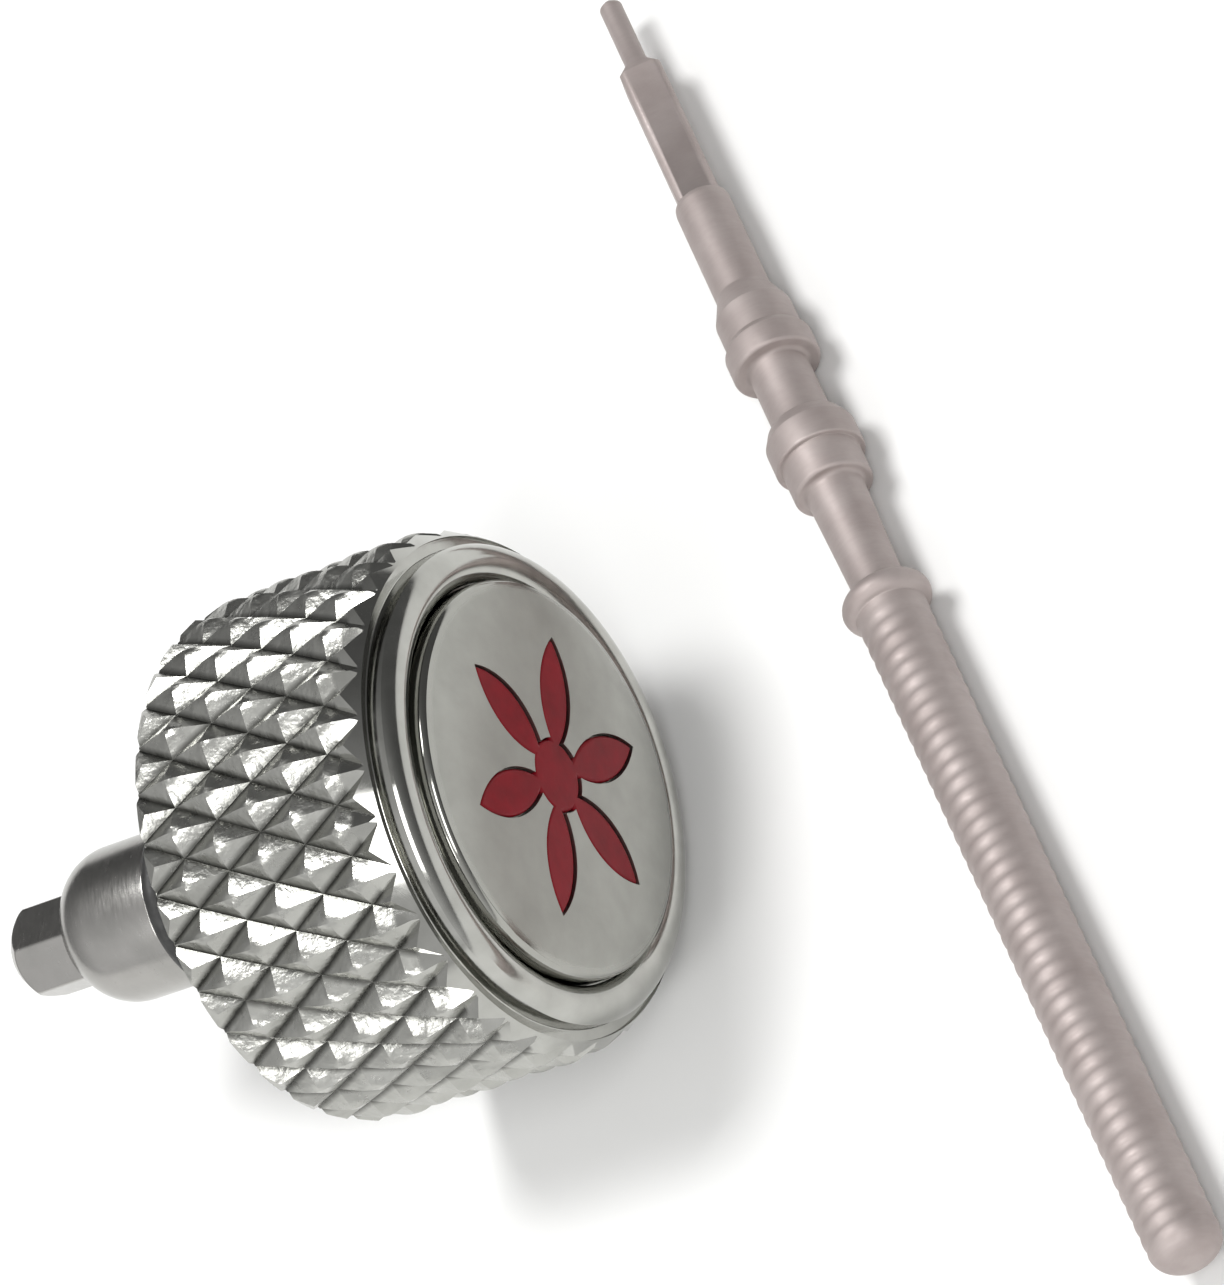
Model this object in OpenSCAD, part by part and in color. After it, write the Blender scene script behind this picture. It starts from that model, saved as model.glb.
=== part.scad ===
// Screw-down watch crown and its winding stem, lying side by side on a flat surface.
// The crown lies on its knurl. The origin is the centre of its open back, +X runs out of its face,
// and +Z is up. The stem is unscrewed and lies on the same surface.

/* [Knurled head] */
// Diameter over the points of the knurl
knurl_d = 6.7; // [6.2:0.1:7.4]
// Length from the back rim to the start of the front shoulder
knurl_len = 2.98; // [2.8:0.02:3.6]
// Number of knurl grooves of each hand
knurl_count = 32; // [24:2:40]
// Angle of the knurl grooves to the crown's axis
knurl_angle = 30; // [26:1:38]
// Depth of the knurl grooves
knurl_depth = 0.2; // [0.12:0.01:0.24]
// Angle about the axis at which the first grooves cross
knurl_turn = 8.6; // [0:0.1:11]
// Distance from the back rim to the first row of crossings
knurl_start = 0.525; // [0.1:0.005:0.8]
// Length of the bevel round the back rim
back_bevel_l = 0.33; // [0.1:0.01:0.5]
// Height of the bevel round the back rim
back_bevel_h = 0.14; // [0.05:0.01:0.2]
// Length of the front shoulder, on which the knurl runs out
shoulder_l = 0.36; // [0.2:0.02:0.6]
// Height of the front shoulder
shoulder_h = 0.22; // [0.14:0.01:0.3]

/* [Bezel ring and face] */
// Width of the groove between the shoulder and the ring
ring_groove_w = 0.15; // [0.08:0.01:0.2]
// Depth of the groove below the edge of the shoulder
ring_groove_t = 0.05; // [0.02:0.01:0.1]
// Width of the polished ring
ring_w = 0.48; // [0.4:0.01:0.5]
// Height of the ring above the edge of the shoulder
ring_h = 0.32; // [0.25:0.01:0.4]
// Radius of the ring's rounded top
ring_round = 0.27; // [0.26:0.01:0.36]
// How far inside the ring's outer edge its top is highest
ring_high_in = 0.24; // [0.2:0.01:0.26]
// Depth of the seat for the face disc below the ring's top
face_seat_t = 0.36; // [0.3:0.01:0.45]
// How far the face disc's side stands up above the ring's top
face_rise = 0.08; // [0.04:0.01:0.12]
// Height of the face disc's cushion, from the top of its side to its middle
face_dome = 0.12; // [0.08:0.01:0.16]
// Flatness of the cushion: a higher number is flatter in the middle and rounder at the edge
face_dome_power = 7; // [4:1:10]

/* [Enamel inlay] */
// Length of each petal of the rosette
petal_l = 1.5; // [1.1:0.05:1.7]
// Width of each petal
petal_w = 0.56; // [0.4:0.02:0.7]
// Distance from the axis to the inner point of each petal
petal_start = 0.3; // [0.2:0.05:0.4]
// Diameter of the rosette's round middle
hub_d = 0.9; // [0.7:0.05:1.1]
// Number of petals
petal_count = 6; // [5:1:7]
// Depth of the pocket for the enamel, below the middle of the disc
inlay_pocket_t = 0.12; // [0.08:0.01:0.15]
// Thickness of the enamel
inlay_t = 0.1; // [0.05:0.01:0.12]

/* [Inside of the head] */
// Bore of the female screw-down thread
cavity_d = 5.3; // [5.0:0.05:5.5]
// Depth of the open back
cavity_t = 2.55; // [2.3:0.05:2.7]
// Bevel round the mouth of the open back
mouth_bevel = 0.12; // [0.05:0.01:0.18]
// Inner diameter of the gasket and its washer
gasket_hole_d = 2.7; // [2.4:0.1:3.4]
// Thickness of the gasket
gasket_t = 0.36; // [0.25:0.01:0.5]
// Radius of the gasket's rounded edges
gasket_round = 0.1; // [0.05:0.01:0.12]
// Thickness of the gasket's washer
washer_t = 0.1; // [0.06:0.01:0.16]

/* [Sleeve] */
// Outer diameter of the sleeve
sleeve_d = 1.98; // [1.9:0.02:2.2]
// Bore of the sleeve
sleeve_bore_d = 1.38; // [1.36:0.01:1.44]
// How far the sleeve stands out behind the back rim
sleeve_out = 3.42; // [2.8:0.02:4]
// Depth to which the sleeve is set into the head
sleeve_seat_t = 0.4; // [0.2:0.02:0.5]
// Radius that rounds the sleeve's end
sleeve_round = 0.7; // [0.5:0.02:0.9]
// Thickness of the sleeve's end wall, round the post
sleeve_end_t = 0.37; // [0.25:0.01:0.6]
// Distance from the back rim to the middle of the sleeve's O-ring
o_ring_out = 1.58; // [1.2:0.02:2.2]
// Thickness of the O-ring
o_ring_w = 0.28; // [0.2:0.01:0.3]
// Depth of the O-ring's groove
o_ring_groove_t = 0.17; // [0.1:0.01:0.19]

/* [Sliding post] */
// Width of the hexagonal post across its flats
post_flats = 1.08; // [1:0.01:1.14]
// How far the post stands out of the sleeve
post_out = 0.9; // [0.6:0.05:1.4]
// Diameter of the post's round head inside the sleeve
post_head_d = 1.32; // [1.3:0.01:1.34]
// Length of the post's head
post_head_l = 0.45; // [0.3:0.05:0.8]
// Bevel round the post's end
post_bevel = 0.22; // [0.1:0.01:0.23]
// Diameter of the hole tapped in the post for the stem
tap_d = 0.72; // [0.66:0.01:0.76]
// Depth of the tapped hole
tap_t = 1.4; // [0.8:0.1:1.6]
// Angle of the hexagon's corners about the axis
post_turn = 47; // [0:1:59]

/* [Spring] */
// Diameter of the spring's wire
wire_d = 0.14; // [0.1:0.01:0.18]
// Number of turns in the spring
spring_turns = 11; // [8:1:13]

/* [Stem along its length] */
// Length of the pilot at the stem's thin end
pilot_l = 1.1; // [0.8:0.05:1.6]
// Length of the cone between the pilot and the square
pilot_cone_l = 0.25; // [0.1:0.05:0.4]
// Length of the square
square_l = 2.25; // [1.8:0.05:3]
// Length of the slope from the square up to the bearing
bearing_slope_l = 0.06; // [0.02:0.02:0.2]
// Length of the round bearing behind the square
bearing_l = 1.6; // [1.2:0.05:2.4]
// Length of the cone that rises to the hub
hub_cone_l = 0.35; // [0.2:0.05:0.5]
// Length of the hub up to its flange
hub_l = 0.45; // [0.3:0.05:0.8]
// Length of the flange at the hub's end
hub_flange_l = 0.45; // [0.3:0.05:0.6]
// Length of the groove for the setting lever
lever_groove_l = 1.0; // [0.8:0.05:1.3]
// Length of the middle collar
collar_l = 0.57; // [0.4:0.01:0.8]
// Length of the step behind the middle collar
collar_step_l = 0.48; // [0.3:0.02:0.7]
// Length of the tapered neck
neck_l = 1.68; // [1.2:0.02:2.2]
// Length of the half-round bead in front of the thread
bead_l = 0.34; // [0.25:0.01:0.5]
// Length of the threaded stretch
thread_l = 9.9; // [6:0.1:13]
// Bevel on the edges of the flange and the collars
collar_bevel = 0.09; // [0.04:0.01:0.12]
// Length of the slope on the front edge of the middle collar
collar_slope_l = 0.18; // [0.08:0.02:0.3]

/* [Stem diameters] */
// Diameter of the pilot
pilot_d = 0.3; // [0.24:0.01:0.4]
// Diameter from which the square is cut, over its corners
square_d = 0.7; // [0.64:0.01:0.74]
// Width of the square across its flats
square_flats = 0.55; // [0.48:0.01:0.6]
// Angle of the square's flats about the stem's axis
square_turn = 65; // [0:1:89]
// Diameter of the round bearing
bearing_d = 0.72; // [0.71:0.01:0.8]
// Diameter of the hub
stem_hub_d = 1.0; // [0.9:0.01:1.06]
// Diameter of the hub's flange
hub_flange_d = 1.14; // [1.08:0.01:1.16]
// Diameter at the bottom of the lever's groove
lever_groove_d = 0.77; // [0.6:0.01:0.85]
// Diameter of the middle collar, the widest on the stem
collar_d = 1.17; // [1.12:0.01:1.3]
// Diameter of the step behind the middle collar
collar_step_d = 1.02; // [0.9:0.01:1.08]
// Diameter of the neck at its thick end
neck_d = 0.75; // [0.7:0.01:0.84]
// Diameter of the neck at its thin end
neck_thin_d = 0.66; // [0.5:0.01:0.69]
// Diameter of the bead in front of the thread
bead_d = 1.14; // [1:0.01:1.16]
// Diameter over the thread
thread_d = 0.9; // [0.8:0.05:1]
// Bevel at the threaded end
thread_bevel = 0.2; // [0.05:0.01:0.24]

/* [Where the stem lies] */
// Place along X of the pilot's tip
stem_x = 3.18; // [3:0.1:9]
// Place along Y of the pilot's tip
stem_y = 11.98; // [10:0.1:16]
// Angle of the stem to the crown's axis
stem_turn = 69.2; // [60:0.1:90]

/* [Fits] */
// Radial gap of a piece that is seated in another
seat_gap = 0.02; // [0.015:0.005:0.03]
// Gap between the hexagonal post and its mouth, on each flat
slide_gap = 0.02; // [0.01:0.005:0.04]
// Gap between two faces that rest on each other
face_gap = 0.01; // [0.005:0.005:0.02]
// Radial gap round the gasket and its washer in the head's bore
gasket_gap = 0.1; // [0.05:0.01:0.2]
// Radial gap round the spring in the sleeve's bore
spring_gap = 0.05; // [0.03:0.01:0.08]

/* [Hidden] */

round_fn = 96;
small_fn = 48;
spring_sides = 6;
spring_steps = 10;
// How far cuts reach past the surfaces that they cut
past = 1;
// How far the knurled bar reaches past both ends of the head before it is cut
knurl_past = 0.25;
// How far one solid reaches into another that it is joined to
overlap = 0.1;

steel = "silver";
polished = "gainsboro";
satin = "darkgray";
rubber = "dimgray";

// Radii of the head, from the outside in
knurl_r = knurl_d / 2;
shoulder_r = knurl_r - shoulder_h;
ring_r = shoulder_r - ring_groove_w;
face_seat_r = ring_r - ring_w;
cavity_r = cavity_d / 2;
gasket_r = cavity_r - gasket_gap;
sleeve_r = sleeve_d / 2;
sleeve_bore_r = sleeve_bore_d / 2;

// Places along the crown's axis
shoulder_x = knurl_len + shoulder_l;
ring_top_x = shoulder_x + ring_h;
face_seat_x = ring_top_x - face_seat_t;
sleeve_seat_x = cavity_t + sleeve_seat_t;
sleeve_end_x = -sleeve_out;
post_end_x = sleeve_end_x - post_out;
post_head_x = sleeve_end_x + sleeve_end_t + face_gap;
post_top_x = post_head_x + post_head_l;

// The face disc's outline
face_r = face_seat_r - seat_gap;
face_edge_x = ring_top_x + face_rise;
face_top_x = face_edge_x + face_dome;
inlay_floor_x = face_top_x - inlay_pocket_t;

// Spacing of the knurl's rows along the axis, two to a diamond
knurl_pitch = PI * knurl_d / knurl_count;
knurl_row = knurl_pitch / tan(knurl_angle) / 2;
knurl_rows_back = ceil((knurl_start + knurl_past) / knurl_row);
knurl_rows_front = ceil((ring_top_x - knurl_start + knurl_past) / knurl_row);

// Stations along the stem, from the pilot's tip
square_s = pilot_l + pilot_cone_l;
bearing_s = square_s + square_l;
hub_cone_s = bearing_s + bearing_l;
hub_s = hub_cone_s + hub_cone_l;
hub_flange_s = hub_s + hub_l;
lever_groove_s = hub_flange_s + hub_flange_l;
collar_s = lever_groove_s + lever_groove_l;
collar_step_s = collar_s + collar_l;
neck_s = collar_step_s + collar_step_l;
bead_s = neck_s + neck_l;
bead_mid_s = bead_s + bead_l / 2;
thread_s = bead_s + bead_l;
stem_l = thread_s + thread_l;

// The stem rests on its widest collar, on the surface that carries the crown
stem_z = collar_d / 2 - knurl_r;

// Turns a drawing of radius against length about the crown's axis
module turned(fn = round_fn) {
    rotate([0, 90, 0]) rotate([0, 0, 90]) rotate_extrude($fn = fn) children();
}

// A round bar or bore along +X from one place to another
module bar(x1, x2, r, fn = round_fn) {
    translate([x1, 0, 0]) rotate([0, 90, 0]) cylinder(h = x2 - x1, r = r, $fn = fn);
}

// A hexagonal bar along +X
module hex_bar(x1, x2, flats) {
    corner_r = flats / sqrt(3);
    translate([x1, 0, 0]) rotate([post_turn, 0, 0]) rotate([0, 90, 0])
        rotate([0, 0, 90]) cylinder(h = x2 - x1, r = corner_r, $fn = 6);
}

// Point of the knurl at column a and row b: a sharp tip where a + b is odd, and where it is even the
// bottom of the two grooves that cross there
function knurl_point(a, b) =
    let (r = (a + b) % 2 == 0 ? knurl_r - knurl_depth : knurl_r)
    let (angle = knurl_turn + a * 180 / knurl_count)
    [knurl_start + b * knurl_row, r * cos(angle), r * sin(angle)];

// Solid bar whose side is the diamond knurl, four flat facets to each pyramid
module knurl_bar() {
    columns = 2 * knurl_count;
    rows = knurl_rows_back + knurl_rows_front;
    points = [
        for (j = [0:rows], a = [0:columns - 1]) knurl_point(a, j - knurl_rows_back)
    ];
    // Each square between four points is folded along the groove that crosses it
    sides = [
        for (j = [0:rows - 1], a = [0:columns - 1])
            let (next = (a + 1) % columns)
            let (p = j * columns + a, q = j * columns + next)
            let (folded = abs(a + j - knurl_rows_back) % 2 == 0)
            for (facet = folded
                ? [[p, q, q + columns], [p, q + columns, p + columns]]
                : [[p, q, p + columns], [q, q + columns, p + columns]])
                facet
    ];
    ends = [
        [for (a = [columns - 1:-1:0]) a],
        [for (a = [0:columns - 1]) rows * columns + a]
    ];
    polyhedron(points = points, faces = concat(sides, ends), convexity = 4);
}

// Outline of the head's bevels, which cut the knurl's tips away at both ends, and of the groove inside
// the front shoulder
module knurl_limits() {
    back_slope = back_bevel_l / back_bevel_h;
    front_slope = shoulder_l / shoulder_h;
    top_r = knurl_r + back_bevel_h;
    polygon([
        [0, 0],
        [knurl_r - back_bevel_h, 0],
        [top_r, 2 * back_bevel_h * back_slope],
        [top_r, knurl_len - (top_r - knurl_r) * front_slope],
        [shoulder_r, shoulder_x],
        [shoulder_r, shoulder_x - ring_groove_t],
        [0, shoulder_x - ring_groove_t]
    ]);
}

// Outline of the polished ring, with its rounded top
module ring_outline() {
    low_x = shoulder_x - ring_groove_t - face_seat_t;
    round_x = ring_top_x - ring_round;
    intersection() {
        translate([0, low_x]) square([ring_r, ring_top_x - low_x]);
        union() {
            translate([ring_r - ring_high_in, round_x]) circle(r = ring_round, $fn = round_fn);
            translate([0, low_x]) square([ring_r + past, round_x - low_x]);
        }
    }
}

module crown_head() color(polished) difference() {
    intersection() {
        knurl_bar();
        turned() union() {
            knurl_limits();
            ring_outline();
        }
    }
    // Seat for the face disc
    bar(face_seat_x, ring_top_x + past, face_seat_r);
    // Open back with its bevelled mouth
    bar(-past, cavity_t, cavity_r);
    turned() polygon([
        [0, -past],
        [cavity_r + mouth_bevel + past, -past],
        [cavity_r, mouth_bevel],
        [0, mouth_bevel]
    ]);
    // Seat for the sleeve
    bar(cavity_t - past, sleeve_seat_x, sleeve_r + seat_gap);
}

// Outline of the face disc: a straight side and a cushion that is nearly flat in the middle
module face_outline() {
    steps = 14;
    polygon(concat(
        [[0, face_seat_x], [face_r, face_seat_x]],
        // The steps are closest at the edge, where the cushion is roundest
        [for (i = [0:steps])
            let (share = 1 - pow(i / steps, 2))
            [face_r * share, face_edge_x + face_dome * (1 - pow(share, face_dome_power))]]
    ));
}

// One petal: the lens where two circles cross, along +Y
module petal(grow) {
    half_l = petal_l / 2 + grow;
    half_w = petal_w / 2 + grow;
    arc_r = (half_l * half_l + half_w * half_w) / (2 * half_w);
    translate([0, petal_start + petal_l / 2]) intersection() {
        translate([arc_r - half_w, 0]) circle(r = arc_r, $fn = round_fn);
        translate([half_w - arc_r, 0]) circle(r = arc_r, $fn = round_fn);
    }
}

// The rosette, swollen by a gap where it is a pocket
module rosette(grow = 0) {
    circle(d = hub_d + 2 * grow, $fn = small_fn);
    for (i = [0:petal_count - 1]) rotate(i * 360 / petal_count) petal(grow);
}

// Stands the rosette up on the face between two places
module inlay_block(x1, x2, grow = 0) {
    translate([x1, 0, 0]) rotate([0, 90, 0]) linear_extrude(height = x2 - x1) rosette(grow);
}

module face_disc() color(satin) difference() {
    turned() face_outline();
    inlay_block(inlay_floor_x, face_top_x + past, seat_gap);
}

module enamel_inlay() color("firebrick") inlay_block(inlay_floor_x, inlay_floor_x + inlay_t);

module crown_gasket() color(rubber) {
    low_r = gasket_hole_d / 2;
    low_x = cavity_t - gasket_t;
    in_r = gasket_round;
    turned() union() {
        translate([low_r + in_r, low_x]) square([gasket_r - low_r - 2 * in_r, gasket_t]);
        translate([low_r, low_x + in_r]) square([gasket_r - low_r, gasket_t - in_r]);
        for (r = [low_r + in_r, gasket_r - in_r])
            translate([r, low_x + in_r]) circle(r = in_r, $fn = small_fn);
    }
}

module gasket_washer() color(steel) {
    low_x = cavity_t - gasket_t - washer_t - face_gap;
    difference() {
        bar(low_x, low_x + washer_t, gasket_r);
        bar(low_x - past, low_x + washer_t + past, gasket_hole_d / 2);
    }
}

// Outline of the sleeve's outside, with its rounded end
module sleeve_outline() {
    round_x = sleeve_end_x + sleeve_round;
    translate([0, round_x]) square([sleeve_r, sleeve_seat_x - face_gap - round_x]);
    intersection() {
        union() {
            translate([sleeve_r - sleeve_round, round_x]) circle(r = sleeve_round, $fn = round_fn);
            translate([0, sleeve_end_x]) square([sleeve_r - sleeve_round, sleeve_round]);
        }
        translate([0, sleeve_end_x]) square([sleeve_r, sleeve_round]);
    }
}

module sleeve() color(steel) {
    groove_r = sleeve_r - o_ring_groove_t;
    groove_w = o_ring_w + 2 * seat_gap;
    difference() {
        turned() sleeve_outline();
        bar(sleeve_end_x + sleeve_end_t, sleeve_seat_x + past, sleeve_bore_r);
        hex_bar(sleeve_end_x - past, sleeve_end_x + sleeve_end_t + past, post_flats + 2 * slide_gap);
        turned() translate([groove_r, -o_ring_out - groove_w / 2]) square([past, groove_w]);
    }
}

module sleeve_o_ring() color(rubber) {
    middle_r = sleeve_r - o_ring_groove_t + seat_gap + o_ring_w / 2;
    turned() translate([middle_r, -o_ring_out]) circle(d = o_ring_w, $fn = small_fn);
}

module sliding_post() color(steel) {
    bevel_r = post_flats / sqrt(3);
    difference() {
        union() {
            intersection() {
                hex_bar(post_end_x, post_head_x + overlap, post_flats);
                turned() polygon([
                    [0, post_end_x],
                    [bevel_r - post_bevel, post_end_x],
                    [bevel_r + past, post_end_x + post_bevel + past],
                    [bevel_r + past, post_top_x],
                    [0, post_top_x]
                ]);
            }
            bar(post_head_x, post_top_x, post_head_d / 2);
        }
        bar(post_end_x - past, post_end_x + tap_t, tap_d / 2);
    }
}

// Centre of the spring's wire at a number of turns
spring_r = sleeve_bore_r - spring_gap - wire_d / 2;
spring_x1 = post_top_x + face_gap + wire_d / 2;
spring_x2 = sleeve_seat_x - face_gap - wire_d / 2;
spring_pitch = (spring_x2 - spring_x1) / spring_turns;

// One corner of the ring of points round the spring's wire
function spring_point(i, k) =
    let (turn = i * 360 / spring_steps)
    let (side = k * 360 / spring_sides)
    let (r = spring_r + wire_d / 2 * cos(side))
    [spring_x1 + i * spring_pitch / spring_steps + wire_d / 2 * sin(side), r * cos(turn), r * sin(turn)];

module crown_spring() color(steel) {
    rings = spring_turns * spring_steps;
    points = [for (i = [0:rings], k = [0:spring_sides - 1]) spring_point(i, k)];
    sides = [
        for (i = [0:rings - 1], k = [0:spring_sides - 1])
            let (next = (k + 1) % spring_sides)
            let (p = i * spring_sides + k, q = i * spring_sides + next)
            for (facet = [[p, q, q + spring_sides], [p, q + spring_sides, p + spring_sides]])
                facet
    ];
    ends = [
        [for (k = [spring_sides - 1:-1:0]) k],
        [for (k = [0:spring_sides - 1]) rings * spring_sides + k]
    ];
    polyhedron(points = points, faces = concat(sides, ends), convexity = 10);
}

// Outline of the stem, length against radius, from the pilot's tip to the threaded end
module stem_outline() {
    tip_bevel = pilot_d / 4;
    bead_r = bead_l / 2;
    bead_mid_r = bead_d / 2 - bead_r;
    translate([bead_mid_r, bead_mid_s]) circle(r = bead_r, $fn = small_fn);
    polygon([for (p = [
        [0, 0],
        [0, pilot_d / 2 - tip_bevel],
        [tip_bevel, pilot_d / 2],
        [pilot_l, pilot_d / 2],
        [square_s, square_d / 2],
        [bearing_s, square_d / 2],
        [bearing_s + bearing_slope_l, bearing_d / 2],
        [hub_cone_s, bearing_d / 2],
        [hub_s, stem_hub_d / 2],
        [hub_flange_s, stem_hub_d / 2],
        [hub_flange_s + collar_bevel, hub_flange_d / 2],
        [lever_groove_s, hub_flange_d / 2],
        [lever_groove_s, lever_groove_d / 2],
        [collar_s, lever_groove_d / 2],
        [collar_s, collar_d / 2 - collar_bevel],
        [collar_s + collar_slope_l, collar_d / 2],
        [collar_step_s, collar_d / 2],
        [collar_step_s, collar_step_d / 2],
        [neck_s, collar_step_d / 2],
        [neck_s, neck_d / 2],
        [bead_s, neck_thin_d / 2],
        [bead_s, bead_mid_r],
        [bead_mid_s, bead_mid_r],
        [bead_mid_s, thread_d / 2],
        [stem_l - thread_bevel, thread_d / 2],
        [stem_l, thread_d / 2 - thread_bevel],
        [stem_l, 0]
    ]) [p[1], p[0]]]);
}

module winding_stem() color("rosybrown")
    translate([stem_x, stem_y, stem_z]) rotate([0, 0, -stem_turn]) difference() {
        turned(small_fn) stem_outline();
        // Flats of the square that carries the sliding pinion
        for (i = [0:3]) rotate([square_turn + i * 90, 0, 0])
            translate([pilot_l, square_flats / 2, -past]) cube([bearing_s - pilot_l, past, 2 * past]);
    }

crown_head();
face_disc();
enamel_inlay();
crown_gasket();
gasket_washer();
sleeve();
sleeve_o_ring();
crown_spring();
sliding_post();
winding_stem();
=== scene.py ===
"""A screw-down watch crown and its winding stem, on a pale floor in soft studio light.

Lengths are in millimetres, as in the part's source, and each mesh is turned into metres when it is made.
The crown's axis is the frame's X axis. The stem's mesh runs along its own X axis and is then laid in place.
"""

import math

import bmesh
import bpy
import numpy as np
from mathutils import Matrix, Quaternion, Vector


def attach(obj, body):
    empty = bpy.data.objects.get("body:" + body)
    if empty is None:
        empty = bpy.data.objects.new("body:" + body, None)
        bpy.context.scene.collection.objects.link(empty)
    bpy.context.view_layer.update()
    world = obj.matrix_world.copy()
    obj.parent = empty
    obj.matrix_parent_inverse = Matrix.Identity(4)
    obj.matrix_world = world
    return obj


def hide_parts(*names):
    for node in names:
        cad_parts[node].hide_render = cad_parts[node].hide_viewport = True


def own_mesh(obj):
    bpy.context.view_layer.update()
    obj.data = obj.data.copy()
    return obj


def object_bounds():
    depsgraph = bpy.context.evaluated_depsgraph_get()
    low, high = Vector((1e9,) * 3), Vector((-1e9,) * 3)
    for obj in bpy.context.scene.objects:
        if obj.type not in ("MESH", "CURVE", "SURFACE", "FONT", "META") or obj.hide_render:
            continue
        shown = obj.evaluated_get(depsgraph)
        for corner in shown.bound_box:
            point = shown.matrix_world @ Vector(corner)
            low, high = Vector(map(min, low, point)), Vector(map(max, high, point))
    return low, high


MM = 0.001

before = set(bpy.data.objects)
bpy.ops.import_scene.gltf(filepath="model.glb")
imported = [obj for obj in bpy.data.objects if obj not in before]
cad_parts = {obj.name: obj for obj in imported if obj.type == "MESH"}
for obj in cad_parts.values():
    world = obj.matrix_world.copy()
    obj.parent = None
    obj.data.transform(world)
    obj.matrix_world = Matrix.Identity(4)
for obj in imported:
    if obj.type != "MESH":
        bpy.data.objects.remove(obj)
cad_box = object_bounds()

# Knurled head. KNURL_WORN is the share of a tip's height from which wear has rounded it.
KNURL_R = 3.35
KNURL_COUNT = 32
KNURL_ANGLE = math.radians(30)
KNURL_DEPTH = 0.2
KNURL_WORN = 0.6
KNURL_TURN = math.radians(8.6)
KNURL_START = 0.525
KNURL_ROW = math.pi * 2 * KNURL_R / KNURL_COUNT / math.tan(KNURL_ANGLE) / 2
BACK_BEVEL = (0.33, 0.14)
BACK_RIM_W = 0.2
SHOULDER_X = 3.34
SHOULDER_R = 3.13
SHOULDER_L = 0.36
SHOULDER_SLOPE = 0.22 / SHOULDER_L
SHOULDER_EDGE = 0.01

# Bezel ring and face
GROOVE_FLOOR_X = 3.29
RING_R = 2.98
RING_TOP_X = 3.66
RING_ROUND = 0.27
RING_HIGH_R = 2.74
FACE_SEAT_R = 2.50
FACE_SEAT_X = 3.30
FACE_R = 2.48
FACE_EDGE_X = 3.74
FACE_EDGE_ROUND = 0.12
FACE_DOME = 0.12
FACE_DOME_POWER = 7
DOME_RINGS = 60
DOME_SPACING = 0.6

# Enamel rosette
PETAL_L = 1.5
PETAL_W = 0.56
PETAL_START = 0.3
PETAL_COUNT = 6
HUB_R = 0.45
POCKET_FLOOR_X = 3.74
INLAY_TOP_X = 3.84
INLAY_EDGE = 0.045
SEAT_GAP = 0.02

# Inside of the head
CAVITY_R = 2.65
CAVITY_X = 2.55
MOUTH_BEVEL = 0.12
SLEEVE_SEAT_X = 2.95
SEAT_MIDDLE_R = 0.5
TUBE_THREAD_PITCH = 0.35
TUBE_THREAD_DEPTH = 0.17
TUBE_THREAD_X = (0.24, 2.0)
GASKET_R = (1.35, 2.55)
GASKET_X = (2.19, 2.55)
GASKET_EDGE = 0.1
WASHER_X = (2.08, 2.18)

# Sleeve, its O-ring, post and spring
SLEEVE_R = 0.99
SLEEVE_BORE_R = 0.69
SLEEVE_END_X = -3.42
SLEEVE_TOP_X = 2.94
SLEEVE_ROUND = 0.70
SLEEVE_END_T = 0.37
O_RING_X = -1.58
O_RING_W = 0.28
O_RING_GROOVE_T = 0.17
POST_FLATS = 1.08
POST_TURN = math.radians(47)
POST_END_X = -4.32
POST_HEAD_X = (-3.04, -2.59)
POST_HEAD_R = 0.66
POST_BEVEL = 0.21
POST_BEVEL_ROUND = 0.15
POST_EDGE = 0.025
SLIDE_GAP = 0.02
TAP_R = 0.36
TAP_T = 1.4
TAP_MOUTH_T = 0.05
TAP_THREAD_T = (0.1, 1.2)
TAP_PLAIN_T = 1.25
TAP_THREAD_DEPTH = 0.06
SPRING_X = (-2.51, 2.87)
SPRING_R = 0.57
SPRING_WIRE_R = 0.07
SPRING_TURNS = 11

# Stem: stations along its length, the radii there and its bevels
PILOT_L = 1.1
PILOT_R = 0.15
PILOT_BEVEL = 0.075
SQUARE_S = 1.35
SQUARE_R = 0.35
SQUARE_FLATS = 0.55
SQUARE_TURN = math.radians(65)
BEARING_S = 3.60
BEARING_R = 0.36
BEARING_BEVEL = 0.06
HUB_CONE_S = 5.20
STEM_HUB_S = 5.55
STEM_HUB_R = 0.50
FLANGE_S = 6.00
FLANGE_R = 0.57
FLANGE_BEVEL = 0.09
LEVER_GROOVE_S = 6.45
LEVER_GROOVE_R = 0.385
COLLAR_S = 7.45
COLLAR_R = 0.583
COLLAR_BEVEL = (0.18, 0.09)
COLLAR_STEP_S = 8.02
COLLAR_STEP_R = 0.51
NECK_S = 8.50
NECK_R = (0.375, 0.33)
BEAD_S = 10.18
BEAD_L = 0.34
BEAD_R = 0.57
THREAD_S = 10.52
THREAD_R = 0.45
THREAD_PITCH = 0.225
THREAD_DEPTH = 0.013
THREAD_LEAD = 1.5
THREAD_BEVEL = 0.3
STEM_L = 20.42
STEM_TIP = (3.18, 11.98, -2.765)
STEM_TURN = math.radians(69.2)

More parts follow.
